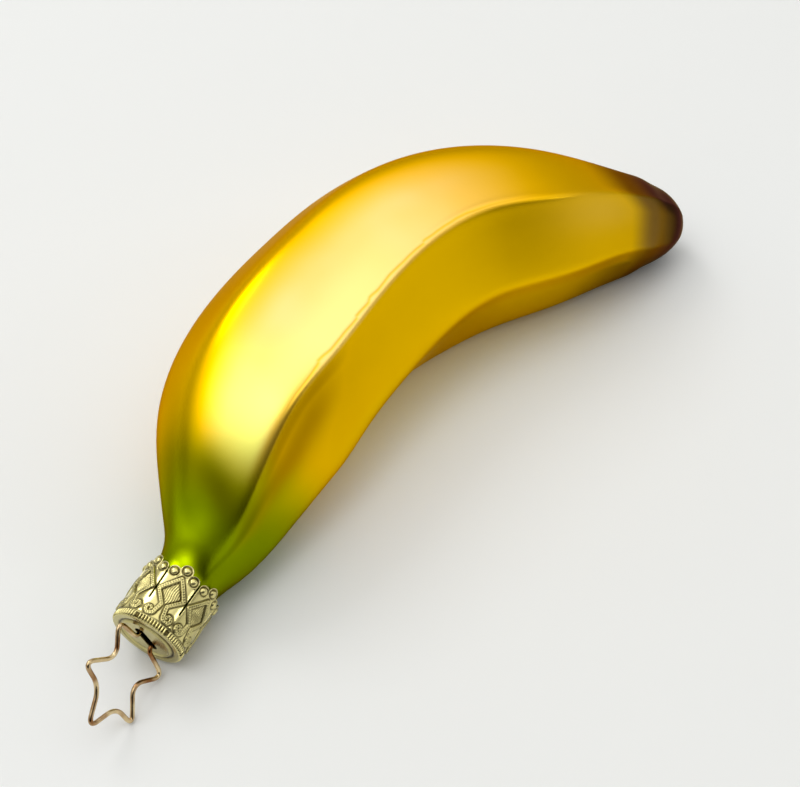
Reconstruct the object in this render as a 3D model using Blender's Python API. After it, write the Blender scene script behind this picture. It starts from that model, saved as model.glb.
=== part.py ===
"""Banana-shaped blown-glass tree ornament with a crown cap and a star-shaped wire hanger.

Run with: blender --background --python part.py
The frame: X along the body's chord from the cap to the tip, Y towards the outer side of the
bend, Z up, with the ornament lying on its side. The lengths below are in millimetres.
"""

import math

import bmesh
import bpy
import numpy as np
from mathutils import Matrix, Vector

MM = 0.001

# Glass body: the route of its axis and its size, from the end of the neck to the tip.
# Each row: along the chord, bow, height, radius, and the angles in degrees of the crisp
# upper ridge and of the soft lower ridge round the section.
BODY_STATIONS = (
    (17.0, 5.7, 7.9, 8.0, 125, 192),
    (23.6, 8.8, 10.8, 11.3, 123, 193),
    (34.6, 15.5, 14.7, 16.3, 124, 192),
    (48.6, 21.3, 17.0, 18.4, 128, 191),
    (64.6, 24.8, 17.5, 19.0, 127, 183),
    (80.6, 26.0, 17.7, 19.3, 124, 176),
    (96.6, 22.5, 17.2, 18.2, 120, 172),
    (110.6, 15.5, 15.5, 15.7, 116, 170),
    (124.6, 9.6, 11.4, 11.6, 112, 166),
    (140.8, 1.5, 5.2, 7.8, 107, 169),
)
TIP_DOME_LENGTH = 13.0
WALL = 0.9
NECK_RADIUS = 5.9
NECK_END = 11.5
NECK_RIM = 1.2
NECK_YAW = math.radians(19.5)
AXIS_HEIGHT = 7.05
RIDGE_FADE_IN = 14.0
RIDGE_FADE_OUT = 18.0
RIDGE_LEFT_AT_TIP = 0.25

# Section of the body: the faces that don't follow the two ridges, as angle and apothem
# for a radius of 1, and how sharply the faces meet.
FIXED_FACES = ((268.0, 0.93), (318.0, 0.96), (0.0, 0.97), (42.0, 0.96))
RIDGE_FACE_APOTHEM = 0.93
CORNER_SHARPNESS = 14
INNER_SHARPNESS = 8

SIDES = 36
BODY_RINGS = 36
TIP_RINGS = 7
INNER_RINGS = 22

# Crown cap
CAP_RADIUS = 6.75
CAP_SHEET = 0.35
CAP_SHOULDER = 0.5
CAP_TAB_ROOT = 4.2
CAP_LENGTH = 12.1
CAP_FLARE = 0.28
CAP_TABS = 7
TAB_TURN = math.radians(18.5)
TAB_QUADS = 10
TAB_SLIT = math.radians(3.2)
TAB_ROWS = 5
BEAD_SCALLOP = 1.1
TAB_CORNER_DROP = 2.2
SIDE_BEAD_OFFSET = 1.86
SIDE_BEAD_DROP = 0.95
MILLED_FROM = 0.6
MILLED_TO = 1.3
MILLED_RELIEF = 0.12
FACE_RING_RADIUS = 4.7
FACE_RING_HALF_WIDTH = 0.35
FACE_RING_RELIEF = 0.2
SLOT_LENGTH = 5.6
SLOT_WIDTH = 1.6
SLOT_TILT = math.radians(-27.0)

# Wire hanger, which lies in the plane through the slot's long axis and the cap's axis. The
# star's corners are given as distance out from the cap's face and place across the axis.
WIRE_RADIUS = 0.4
STAR_CORNERS = (
    (1.8, -6.2), (5.8, -3.4), (10.0, -6.9), (11.4, -2.6), (16.2, 0.7),
    (11.8, 3.3), (11.2, 7.4), (6.8, 3.8), (2.4, 6.9),
)
WIRE_BEND = 1.1
WIRE_CLEARANCE = 0.8
LEG_AT_SLOT = 2.0
LEG_STRAIGHT = 1.4
LEG_SPREAD = 4.0
LEG_LENGTH = 9.0


def smooth_step(edge_low, edge_high, value):
    """0 below the first edge, 1 above the second, and a smooth rise between them."""
    t = np.clip((np.asarray(value, float) - edge_low) / (edge_high - edge_low), 0.0, 1.0)
    return t * t * (3.0 - 2.0 * t)


def spline(knots, values, at, start_slope):
    """Cubic spline through the values, with a given slope at its start and free at its end."""
    knots = np.asarray(knots, float)
    values = np.asarray(values, float)
    steps = np.diff(knots)
    slopes = np.diff(values) / steps
    count = len(knots)
    system = np.zeros((count, count))
    right = np.zeros(count)
    system[0, 0:2] = 2.0 * steps[0], steps[0]
    right[0] = 6.0 * (slopes[0] - start_slope)
    system[-1, -1] = 1.0
    for i in range(1, count - 1):
        system[i, i - 1:i + 2] = steps[i - 1], 2.0 * (steps[i - 1] + steps[i]), steps[i]
        right[i] = 6.0 * (slopes[i] - slopes[i - 1])
    bend = np.linalg.solve(system, right)
    at = np.asarray(at, float)
    k = np.clip(np.searchsorted(knots, at) - 1, 0, count - 2)
    u = at - knots[k]
    first = slopes[k] - steps[k] * (2.0 * bend[k] + bend[k + 1]) / 6.0
    return values[k] + u * (first + u * (bend[k] / 2.0 + u * (bend[k + 1] - bend[k]) / (6.0 * steps[k])))


class BodyShape:
    """The glass body's axis, radius and ridges as functions of the length along its axis."""

    def __init__(self):
        table = np.array(BODY_STATIONS, float)
        self.neck_direction = np.array([math.cos(NECK_YAW), math.sin(NECK_YAW), 0.0])
        self.neck_start = np.array([0.0, 0.0, AXIS_HEIGHT])
        neck_end = self.neck_start + NECK_END * self.neck_direction
        points = np.vstack([neck_end, table[:, 0:3]])
        self.knots = NECK_END + np.r_[0.0, np.cumsum(np.linalg.norm(np.diff(points, axis=0), axis=1))]
        self.points = points
        self.radii = np.r_[NECK_RADIUS, table[:, 3]]
        self.ridges = np.vstack([table[0, 4:6], table[:, 4:6]])
        self.length = self.knots[-1]

    def axis(self, s):
        """Points on the axis: straight in the neck, and a smooth curve after it."""
        curve = np.stack([spline(self.knots, self.points[:, i], s, self.neck_direction[i])
                          for i in range(3)], axis=-1)
        straight = self.neck_start + s[:, None] * self.neck_direction
        return np.where(s[:, None] < NECK_END, straight, curve)

    def radius(self, s):
        """Nominal radius, closing in an elliptical dome at the tip."""
        plain = np.where(s < NECK_END, NECK_RADIUS, spline(self.knots, self.radii, s, 0.0))
        start = self.length - TIP_DOME_LENGTH
        across = np.clip((s - start) / TIP_DOME_LENGTH, 0.0, 1.0)
        return plain * np.sqrt(1.0 - across ** 2)

    def section(self, s, angles, sharpness):
        """Radius factor round the section, for rings at s and the given angles."""
        first = spline(self.knots, self.ridges[:, 0], s, 0.0)[:, None]
        second = spline(self.knots, self.ridges[:, 1], s, 0.0)[:, None]
        middle = (first + second) / 2.0
        faces = [(2.0 * first - middle, RIDGE_FACE_APOTHEM),
                 (middle, RIDGE_FACE_APOTHEM),
                 (2.0 * second - middle, RIDGE_FACE_APOTHEM)]
        faces += [(np.full_like(first, angle), apothem) for angle, apothem in FIXED_FACES]
        total = 0.0
        for normal, apothem in faces:
            facing = np.cos(angles[None, :] - np.radians(normal))
            total = total + (np.maximum(facing, 0.0) / apothem) ** sharpness
        factor = total ** (-1.0 / sharpness)
        fade_in = smooth_step(NECK_END, NECK_END + RIDGE_FADE_IN, s)
        fade_out = (1.0 - RIDGE_LEFT_AT_TIP) * smooth_step(self.length - RIDGE_FADE_OUT, self.length, s)
        fade = fade_in * (1.0 - fade_out)
        return 1.0 - fade[:, None] * (1.0 - factor)

    def rings(self, s, sharpness, inset=0.0):
        """Rings of points across the axis, as an array of ring by side by coordinate."""
        centre = self.axis(s)
        ahead = self.axis(s + 0.05) - self.axis(s - 0.05)
        ahead /= np.linalg.norm(ahead, axis=1)[:, None]
        outward = np.cross([0.0, 0.0, 1.0], ahead)
        outward /= np.linalg.norm(outward, axis=1)[:, None]
        upward = np.cross(ahead, outward)
        angles = np.arange(SIDES) * 2.0 * math.pi / SIDES
        radius = self.radius(s)[:, None] * self.section(s, angles, sharpness) - inset
        around = (np.cos(angles)[None, :, None] * outward[:, None, :]
                  + np.sin(angles)[None, :, None] * upward[:, None, :])
        return centre[:, None, :] + radius[:, :, None] * around


def make_object(name, points, faces, material, smooth_angle):
    """Mesh object from points in millimetres, shaded smooth except at sharp edges."""
    mesh = bpy.data.meshes.new(name)
    mesh.from_pydata([tuple(MM * value for value in point) for point in points], [], faces)
    work = bmesh.new()
    work.from_mesh(mesh)
    bmesh.ops.recalc_face_normals(work, faces=work.faces)
    work.to_mesh(mesh)
    work.free()
    mesh.shade_smooth()
    mesh.set_sharp_from_angle(angle=smooth_angle)
    mesh.materials.append(material)
    made = bpy.data.objects.new(name, mesh)
    bpy.context.scene.collection.objects.link(made)
    return made


def make_material(name, colour, metallic, roughness):
    material = bpy.data.materials.new(name)
    material.use_nodes = True
    shader = material.node_tree.nodes["Principled BSDF"]
    shader.inputs["Base Color"].default_value = (*colour, 1.0)
    shader.inputs["Metallic"].default_value = metallic
    shader.inputs["Roughness"].default_value = roughness
    return material


def bridge(first, second, sides):
    """Quads between two closed rings, given by the number of their first points."""
    return [(first + j, first + (j + 1) % sides, second + (j + 1) % sides, second + j)
            for j in range(sides)]


def make_glass_body(shape):
    """Thin blown shell, open at the neck, closed at the tip, flat where it rests."""
    dome_start = shape.length - TIP_DOME_LENGTH
    outer_s = np.r_[NECK_RIM, np.linspace(NECK_END, dome_start, BODY_RINGS)]
    quarter = np.linspace(0.0, math.pi / 2.0, TIP_RINGS + 1)[1:-1]
    outer_s = np.r_[outer_s, dome_start + TIP_DOME_LENGTH * np.sin(quarter)]
    outer = shape.rings(outer_s, CORNER_SHARPNESS)
    outer[:, :, 2] = np.maximum(outer[:, :, 2], 0.0)

    inner_dome = TIP_DOME_LENGTH - WALL
    inner_s = np.r_[NECK_RIM, np.linspace(NECK_END, dome_start, INNER_RINGS),
                    dome_start + inner_dome * np.sin(quarter[:-1:2])]
    inner = shape.rings(inner_s, INNER_SHARPNESS, WALL)

    tip = shape.axis(np.array([shape.length]))[0]
    inner_tip = shape.axis(np.array([dome_start + inner_dome]))[0]
    points = list(outer.reshape(-1, 3)) + [tip] + list(inner.reshape(-1, 3)) + [inner_tip]
    tip_point = len(outer_s) * SIDES
    inner_start = tip_point + 1
    inner_tip_point = len(points) - 1

    faces = []
    for i in range(len(outer_s) - 1):
        faces += bridge(i * SIDES, (i + 1) * SIDES, SIDES)
    for i in range(len(inner_s) - 1):
        faces += bridge(inner_start + (i + 1) * SIDES, inner_start + i * SIDES, SIDES)
    faces += bridge(inner_start, 0, SIDES)
    last = tip_point - SIDES
    inner_last = inner_tip_point - SIDES
    for j in range(SIDES):
        faces.append((last + j, last + (j + 1) % SIDES, tip_point))
        faces.append((inner_last + (j + 1) % SIDES, inner_last + j, inner_tip_point))
    glass = make_material("lacquered_glass", (0.72, 0.47, 0.02), 0.85, 0.35)
    return make_object("glass_body", points, faces, glass, math.radians(50))


def cap_frame():
    """Turns cap coordinates into the ornament's: first axis along the neck, third up."""
    across = Matrix.Rotation(NECK_YAW, 4, "Z")
    return Matrix.Translation((0.0, 0.0, AXIS_HEIGHT)) @ across


def slot_reach(angle):
    """Distance from the slot's middle to its edge, a rectangle with round ends."""
    half_width = SLOT_WIDTH / 2.0
    straight = SLOT_LENGTH / 2.0 - half_width
    c, s = abs(math.cos(angle)), abs(math.sin(angle))
    if s * straight > c * half_width:
        return half_width / s
    return straight * c + math.sqrt(max(half_width ** 2 - (straight * s) ** 2, 0.0))


def tab_length(offset):
    """Length of a tab at an offset from its middle: three round scallops over the beads."""
    reach = CAP_LENGTH - TAB_CORNER_DROP
    for middle, top in ((0.0, 0.0), (SIDE_BEAD_OFFSET, SIDE_BEAD_DROP), (-SIDE_BEAD_OFFSET, SIDE_BEAD_DROP)):
        gap = abs(offset - middle)
        if gap < BEAD_SCALLOP:
            reach = max(reach, CAP_LENGTH - top - BEAD_SCALLOP + math.sqrt(BEAD_SCALLOP ** 2 - gap ** 2))
    return reach


def cap_columns():
    """Angle of each column round the cap, with the slits between the tabs."""
    pitch = 2.0 * math.pi / CAP_TABS
    spread = pitch - TAB_SLIT
    return [TAB_TURN + tab * pitch + TAB_SLIT / 2.0 + spread * k / TAB_QUADS
            for tab in range(CAP_TABS) for k in range(TAB_QUADS + 1)]


def cap_profile():
    """Radius and depth of each row, from the slot over the face and shoulder to the tabs."""
    face_edge = CAP_RADIUS - CAP_SHOULDER
    rows = [(0.0, 0.0), (FACE_RING_RADIUS - FACE_RING_HALF_WIDTH, 0.0), (FACE_RING_RADIUS, -FACE_RING_RELIEF),
            (FACE_RING_RADIUS + FACE_RING_HALF_WIDTH, 0.0), (face_edge, 0.0)]
    for turn in (math.radians(30.0), math.radians(60.0), math.radians(90.0)):
        rows.append((face_edge + CAP_SHOULDER * math.sin(turn), CAP_SHOULDER * (1.0 - math.cos(turn))))
    rows += [(CAP_RADIUS, MILLED_FROM), (CAP_RADIUS, MILLED_TO), (CAP_RADIUS, CAP_TAB_ROOT)]
    return rows


def cap_point(depth, radius, angle):
    return depth, radius * math.cos(angle), radius * math.sin(angle)


def cap_body_rows(columns):
    """Outer and inner points of the face, the shoulder and the milled ring."""
    outer, inner = [], []
    for row, (radius, depth) in enumerate(cap_profile()):
        turn = max((radius - CAP_RADIUS) / CAP_SHOULDER + 1.0, 0.0)
        for column, angle in enumerate(columns):
            at_slot = slot_reach(angle) if row == 0 else radius
            rib = MILLED_RELIEF * (column % 2) if depth in (MILLED_FROM, MILLED_TO) else 0.0
            outer.append(cap_point(depth, at_slot + rib, angle))
            if depth <= 0.0:
                inner.append(cap_point(CAP_SHEET, at_slot, angle))
            else:
                inner.append(cap_point(depth + CAP_SHEET * (1.0 - turn), radius - CAP_SHEET * turn, angle))
    return outer, inner


def cap_tab_rows(columns):
    """Outer and inner points of the seven tabs, which flare a little with the glass."""
    pitch = 2.0 * math.pi / CAP_TABS
    outer, inner = [], []
    for step in range(1, TAB_ROWS + 1):
        for column, angle in enumerate(columns):
            middle = TAB_TURN + (column // (TAB_QUADS + 1) + 0.5) * pitch
            reach = tab_length(CAP_RADIUS * (angle - middle)) - CAP_TAB_ROOT
            depth = CAP_TAB_ROOT + reach * step / TAB_ROWS
            flare = CAP_FLARE * ((depth - CAP_TAB_ROOT) / (CAP_LENGTH - CAP_TAB_ROOT)) ** 2
            outer.append(cap_point(depth, CAP_RADIUS + flare, angle))
            inner.append(cap_point(depth, CAP_RADIUS + flare - CAP_SHEET, angle))
    return outer, inner


def make_cap():
    """Sheet-metal crown cap: one closed sheet with a slot, a slit between tabs and scalloped tab ends."""
    columns = cap_columns()
    count = len(columns)
    outer, inner = cap_body_rows(columns)
    body_rows = len(outer) // count
    tab_outer, tab_inner = cap_tab_rows(columns)
    outer += tab_outer
    inner += tab_inner
    sheet = []
    for row in range(body_rows + TAB_ROWS - 1):
        for column in range(count):
            at_slit = (column + 1) % (TAB_QUADS + 1) == 0
            if at_slit and row >= body_rows - 1:
                continue
            follows = (column + 1) % count
            sheet.append((row * count + column, row * count + follows,
                          (row + 1) * count + follows, (row + 1) * count + column))
    to_body = cap_frame() @ Matrix.Rotation(math.radians(90.0) + SLOT_TILT, 4, "X")
    points = [to_body @ Vector(point) for point in outer + inner]
    brass = make_material("stamped_cap", (0.66, 0.58, 0.30), 1.0, 0.28)
    return make_object("cap", points, close_sheet(sheet, len(outer)), brass, math.radians(35))


def close_sheet(sheet, count):
    """Both sides of a sheet of quads, with walls along every edge that only one quad has."""
    used = {}
    for quad in sheet:
        for a, b in zip(quad, quad[1:] + quad[:1]):
            used[(a, b)] = used.get((a, b), 0) + 1
    faces = list(sheet)
    faces += [tuple(count + index for index in reversed(quad)) for quad in sheet]
    for a, b in used:
        if (b, a) not in used:
            faces.append((b, a, count + a, count + b))
    return faces


def toward(start, end):
    return (end - start) / np.linalg.norm(end - start)


def round_corners(corners, bend):
    """Smooth route that bends through each corner and is straight between them."""
    corners = [np.array(corner, float) for corner in corners]
    pushed = [corners[0]]
    for before, corner, after in zip(corners, corners[1:], corners[2:]):
        pushed.append(corner - (toward(corner, before) + toward(corner, after)) * bend / 4.0)
    pushed.append(corners[-1])
    path = [pushed[0]]
    for before, corner, after in zip(pushed, pushed[1:], pushed[2:]):
        start = corner + toward(corner, before) * bend
        end = corner + toward(corner, after) * bend
        for t in (0.0, 0.33, 0.67, 1.0):
            path.append((1.0 - t) ** 2 * start + 2.0 * t * (1.0 - t) * corner + t ** 2 * end)
    path.append(pushed[-1])
    return path


def wire_route():
    """The wire's route: a leg in the neck, out through the slot, round the star and back."""
    leg = [(LEG_LENGTH, LEG_SPREAD), (LEG_STRAIGHT, LEG_AT_SLOT), (-WIRE_CLEARANCE, LEG_AT_SLOT)]
    first_leg = [(along, -across) for along, across in leg]
    star = [(-out, across) for out, across in STAR_CORNERS]
    return round_corners(first_leg + star + leg[::-1], WIRE_BEND)


def make_hanger_wire():
    """One round wire swept along its route, in the plane through the slot."""
    curve = bpy.data.curves.new("hanger_wire", "CURVE")
    curve.dimensions = "3D"
    curve.bevel_depth = WIRE_RADIUS * MM
    curve.bevel_resolution = 2
    curve.use_fill_caps = True
    to_body = cap_frame() @ Matrix.Rotation(SLOT_TILT, 4, "X")
    route = [to_body @ Vector((along, 0.0, -across)) for along, across in wire_route()]
    line = curve.splines.new("POLY")
    line.points.add(len(route) - 1)
    for point, place in zip(line.points, route):
        point.co = (*(MM * place), 1.0)
    curve.materials.append(make_material("hanger_wire", (0.75, 0.48, 0.27), 1.0, 0.22))
    made = bpy.data.objects.new("hanger_wire", curve)
    bpy.context.scene.collection.objects.link(made)
    return made


def stand_on_origin(parts):
    """Carry the parts on an empty that puts the origin under the middle of their box."""
    bpy.context.view_layer.update()
    corners = np.array([part.matrix_world @ Vector(corner) for part in parts for corner in part.bound_box])
    middle = (corners.min(axis=0) + corners.max(axis=0)) / 2.0
    carrier = bpy.data.objects.new("ornament", None)
    bpy.context.scene.collection.objects.link(carrier)
    carrier.location = (-middle[0], -middle[1], 0.0)
    for part in parts:
        part.parent = carrier


def main():
    for old in list(bpy.data.objects):
        bpy.data.objects.remove(old, do_unlink=True)
    shape = BodyShape()
    stand_on_origin([make_glass_body(shape), make_cap(), make_hanger_wire()])


main()
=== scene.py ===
"""Looks of a banana-shaped blown-glass tree ornament, with its crown cap and star hanger.

Every piece is built in the ornament's own frame, in millimetres, and then set in place in
metres: X along the chord from the cap to the tip, Y towards the outer side of the bend, Z up.
"""

import math

import bpy
import numpy as np
from bpy.props import FloatProperty, FloatVectorProperty, IntProperty, PointerProperty
from mathutils import Matrix, Vector


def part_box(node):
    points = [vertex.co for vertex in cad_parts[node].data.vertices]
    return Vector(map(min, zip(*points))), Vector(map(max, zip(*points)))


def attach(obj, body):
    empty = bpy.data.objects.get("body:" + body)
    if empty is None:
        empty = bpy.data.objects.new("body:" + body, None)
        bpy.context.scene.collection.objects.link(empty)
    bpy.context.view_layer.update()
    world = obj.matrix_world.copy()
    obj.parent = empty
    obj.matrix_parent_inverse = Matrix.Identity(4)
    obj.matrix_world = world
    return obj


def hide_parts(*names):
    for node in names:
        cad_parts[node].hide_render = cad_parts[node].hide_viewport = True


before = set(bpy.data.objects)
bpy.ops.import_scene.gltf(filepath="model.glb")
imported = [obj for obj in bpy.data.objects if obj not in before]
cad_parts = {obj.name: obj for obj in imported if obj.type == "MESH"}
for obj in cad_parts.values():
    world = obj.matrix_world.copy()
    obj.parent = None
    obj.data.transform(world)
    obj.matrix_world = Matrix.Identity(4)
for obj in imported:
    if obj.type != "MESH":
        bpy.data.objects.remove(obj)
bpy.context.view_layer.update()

bl_info = {
    "name": "Banana glass ornament",
    "version": (1, 0, 0),
    "blender": (4, 5, 0),
    "location": "View3D > Sidebar > Ornament",
    "description": "Builds a blown-glass banana ornament with a crown cap and a star hanger",
    "category": "Add Mesh",
}

MM = 0.001

# Angles round the glass body are in degrees: 0 is the outer side of the bend, 90 is up and
# 180 is the inner side, which the viewer sees

# Glass body: along the chord, bow, height, radius, and the angles of the crisp seam ridge and
# of the soft ridge below it
BODY_STATIONS = (
    (17.0, 5.7, 7.9, 8.0, 126, 192),
    (23.6, 8.8, 10.8, 11.3, 124, 193),
    (34.6, 15.5, 14.7, 16.3, 124.5, 192),
    (48.6, 21.3, 17.0, 18.4, 131, 191),
    (64.6, 24.8, 17.5, 19.0, 128.5, 183),
    (80.6, 26.0, 17.7, 19.3, 125, 176),
    (96.6, 22.5, 17.2, 18.2, 120, 172),
    (110.6, 15.5, 15.5, 15.7, 116, 170),
    (124.6, 9.6, 11.4, 11.6, 112, 166),
    (140.8, 1.5, 5.2, 7.8, 107, 169),
)
TIP_DOME_LENGTH = 13.0
WALL = 0.9
NECK_RADIUS = 5.9
NECK_END = 11.5
NECK_RIM = 1.2
NECK_YAW = math.radians(19.5)
AXIS_HEIGHT = 7.05
RIDGE_FADE_IN = 14.0
RIDGE_FADE_OUT = 18.0
RIDGE_LEFT_AT_TIP = 0.25
SEAM_RIDGE_WIDTH = 16.0
SOFT_RIDGE_WIDTH = 14.0

# Swelling and hollow near the tip, as share of the radius, distance from the tip, and width
TIP_NUBS = ((0.022, 4.5, 2.6), (-0.030, 9.0, 2.4))

# Faces of the body's section that don't follow the ridges, as angle and apothem
FIXED_FACES = ((268.0, 0.93), (318.0, 0.96), (0.0, 0.97), (42.0, 0.96))
RIDGE_FACE_APOTHEM = 0.93
CORNER_SHARPNESS = 14
RIDGE_SHARPNESS = 55

BODY_COLUMNS = 280
BODY_RINGS = 270
TIP_RINGS = 34
INNER_RINGS = 26
SEAM_FOCUS = 5.0
SEAM_CROWDING = 5.0

# Mould seam: its wander, as reach, radians for each millimetre and start; the places of its
# nicks along the axis and how far they jog; and its groove's place and width across the ridge
SEAM_WANDER = ((0.10, 0.31, 0.8), (0.05, 0.83, 0.0), (0.015, 2.1, 1.0))
SEAM_NICKS = (51.0, 62.5, 67.0, 85.0)
NICK_JOG = 0.34
GROOVE_PLACE = 0.62
GROOVE_WIDTH = 0.28

# Lacquer, with its painted highlights and painted shade: places along the axis from the neck, and
# reaches back from the tip
LIME_END = 29.5
NECK_LIGHT_PLACE = 21.0
OLIVE_PLACE = 27.8
CREST_START = 29.0
BROWN_REACH = 23.0
BLACK_REACH = 15.0
PAINTED_SHEEN_PLACE = 27.0
# Painted shade over the whole inner wall
INSIDE_SHADE_COLOUR = (0.02, 0.02, 0.02)

# Crown cap
CAP_RADIUS = 6.75
CAP_SHEET = 0.35
CAP_SHOULDER = 0.5
CAP_TAB_ROOT = 4.2
CAP_LENGTH = 12.1
CAP_FLARE = 0.28
CAP_TABS = 7
TAB_TURN = math.radians(18.5)
TAB_SLIT = math.radians(3.2)
TAB_CORNER_DROP = 2.2
SLOT_LENGTH = 5.6
SLOT_WIDTH = 1.9
SLOT_TILT = math.radians(-27.0)
SLOT_LIP = 0.12
CAP_COLUMNS_PER_TAB = 84
TAB_ROWS = 67
LINING_STEP = 6

# Ring and groove turned in the cap's face, by radius, and the milling and the line round its
# side, by depth
FACE_RING = 4.55
FACE_GROOVE = 5.15
MILLED_RISE = (0.0, 0.12)
MILLED_FALL = (0.98, 1.16)
MILLED_DEPTH = 0.24
SIDE_LINE = 1.28
STAMPED_FROM = (1.3, 1.5)

# Beads of a tab, as offset across it and drop back from its end, and the scallops round them
BEADS = ((0.0, 0.0), (1.86, 0.95), (-1.86, 0.95))
BEAD_SCALLOP = 1.1
BEAD_RADIUS = 0.68
BEAD_HEIGHT = 0.42

# Rope, volutes and lozenge of a tab, as offset across it and depth from the cap's face
ROPE_CORNERS = ((0.0, 9.45), (2.40, 6.30), (0.52, 4.10), (0.66, 3.25))
ROPE_HALF_WIDTH = 0.35
ROPE_HEIGHT = 0.20
ROPE_STRAND = 0.42
VOLUTE = (1.74, 2.48)
VOLUTE_REACH = 0.94
VOLUTE_TURNS = (165.0, 575.0)
VOLUTE_CLOSING = 0.62
VOLUTE_FROM = 9.6
VOLUTE_THINNING = 0.13
LOZENGE_MIDDLE = 6.25
LOZENGE_HALF_WIDTH = 2.35
LOZENGE_BELOW = 3.1
LOZENGE_ABOVE = 2.9
HATCH_PITCH = 0.38

# Star hanger: corners as distance out from the cap's face and place across its axis
STAR_CORNERS = (
    (1.8, -6.2), (5.8, -3.4), (10.0, -6.9), (11.4, -2.6), (16.2, 0.7),
    (11.8, 3.3), (11.2, 7.4), (6.8, 3.8), (2.4, 6.9),
)
WIRE_BEND = 2.1
BEND_FULLNESS = 0.6
WIRE_CLEARANCE = 0.8
LEG_AT_SLOT = 2.0
LEG_STRAIGHT = 1.4
LEG_SPREAD = 4.0
LEG_LENGTH = 9.0

# Stage: the floor's rings as radius and height, and each light's place and side, in metres
FLOOR_RINGS = ((1.2, 0.0), (2.4, 0.0), (3.6, 0.35), (4.6, 1.4))
FLOOR_SIDES = 64
SOFTBOXES = {
    "top_light": ((-0.38, 0.14, 1.0), 0.55),
    "key_light": ((0.05, 0.75, 0.80), 0.40),
    "side_light": ((0.50, -0.59, 0.48), 0.12),
}

# Brightness of the room by the height of the direction looked in, and its dim parts, as
# azimuth, elevation, outer reach and core in degrees, and level
ROOM_LEVELS = ((0.0, 0.42), (0.34, 0.50), (0.50, 0.65), (0.64, 0.93), (0.78, 1.20), (0.86, 1.33))
ROOM_TINT = (1.0, 0.995, 0.985)
DIM_SIDES = (
    (-118.0, 10.0, 78.0, 38.0, 0.08),
    (165.0, 14.0, 30.0, 12.0, 0.6),
)

# Camera: place in the ornament's own frame, tip from straight down and turn, in degrees
CAMERA_PLACE = (-38.55, -101.55, 201.1)
CAMERA_TIP = 38.0
CAMERA_TURN = -43.5


def colour_property(name, description, default):
    return FloatVectorProperty(name=name, description=description, default=default,
                               subtype="COLOR", size=3, min=0.0, max=1.0)


def share_property(name, description, default, most=1.0):
    return FloatProperty(name=name, description=description, default=default,
                         subtype="FACTOR", min=0.0, max=most)


def power_property(name, description, default):
    return FloatProperty(name=name, description=description, default=default,
                         unit="POWER", min=0.0)


class GlassSettings(bpy.types.PropertyGroup):
    """Seam and lacquer of the glass body, and the painted highlights and shade on it."""

    seam_height: FloatProperty(
        name="Seam height", description="How far the mould seam stands proud, in millimetres",
        default=0.13, min=0.0, max=0.4)
    gold: colour_property("Gold", "Lacquer over most of the body", (0.875, 0.515, 0.0))
    # Painted highlight along the upper face
    crest: colour_property("Crest", "Paler lacquer along the upper face", (0.97, 0.685, 0.22))
    # Painted highlight, the palest part, beside the seam
    palest_highlight: colour_property("Pale", "Palest lacquer beside the seam", (1.0, 0.80, 0.25))
    rim: colour_property("Rim", "Tint of the lacquer seen edge-on", (0.56, 0.34, 0.0))
    # Painted shade beside the seam near the neck
    bronze: colour_property("Bronze", "Darker lacquer beside the seam near the neck", (0.46, 0.25, 0.0))
    # Painted highlight at the crest's edge; also the colour of the seam's groove
    yellow: colour_property("Yellow", "Deep yellow at the crest's edge and seam", (1.0, 0.53, 0.0))
    # Painted light low on the side
    belly: colour_property("Belly", "Lighter lacquer low on the side", (1.0, 0.68, 0.0))
    lime: colour_property("Lime", "Lacquer at the neck", (0.35, 0.46, 0.0))
    # Painted highlight on top of the neck
    lime_highlight: colour_property("Bright lime", "Paler lime on top of the neck", (0.62, 0.82, 0.0))
    # Painted shade down the neck's sides
    moss_shade: colour_property("Moss", "Darker green down the neck's sides", (0.08, 0.105, 0.0))
    # Olive where lime meets gold, darkened further as painted shade
    olive: colour_property("Olive", "Lacquer where lime and gold overlap", (0.17, 0.16, 0.0))
    brown: colour_property("Brown", "Lacquer where the tip begins to darken", (0.22, 0.122, 0.026))
    black: colour_property("Black", "Lacquer at the very tip", (0.030, 0.018, 0.010))
    satin: share_property("Satin", "Roughness of the silvered glass under the lacquer", 0.33)
    gloss: share_property("Lacquer gloss", "Roughness of the clear top of the lacquer", 0.22)


class CapSettings(bpy.types.PropertyGroup):
    """Stamping and metal of the crown cap."""

    relief: share_property("Relief", "Scale of the stamped pattern's depth", 1.0, most=1.5)
    ribs_per_tab: IntProperty(
        name="Ribs per tab", description="Milled ribs above each tab", default=11, min=4, max=22)
    metal: colour_property("Metal", "Bright stamped metal", (0.72, 0.64, 0.27))
    # Painted shade in the recesses and on the lining
    recess: colour_property("Recess", "Darker metal in the recesses", (0.05, 0.034, 0.006))


class HangerSettings(bpy.types.PropertyGroup):
    """Wire of the star hanger."""

    wire_radius: FloatProperty(
        name="Wire radius", description="Radius of the drawn wire, in millimetres",
        default=0.4, min=0.2, max=0.8)
    metal: colour_property("Metal", "Bright gold of the wire", (0.76, 0.60, 0.34))
    copper: colour_property("Copper", "Copper showing through the gold", (0.26, 0.11, 0.035))


class StageSettings(bpy.types.PropertyGroup):
    """Floor, light and camera."""

    floor: colour_property("Floor", "Pale paper under the ornament", (0.875, 0.885, 0.87))
    top_light: power_property("Top light", "Power of the large softbox overhead", 1.05)
    key_light: power_property("Key light", "Power of the smaller softbox behind", 1.9)
    side_light: power_property("Side light", "Power of the small light that glints on the cap", 0.18)
    lens: FloatProperty(
        name="Lens", description="Focal length of the camera, in millimetres", default=58.5,
        min=10.0, max=200.0)


def smooth_step(edge_low, edge_high, value):
    """0 below the first edge, 1 above the second, and a smooth rise between them."""
    t = np.clip((np.asarray(value, float) - edge_low) / (edge_high - edge_low), 0.0, 1.0)
    return t * t * (3.0 - 2.0 * t)


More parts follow.
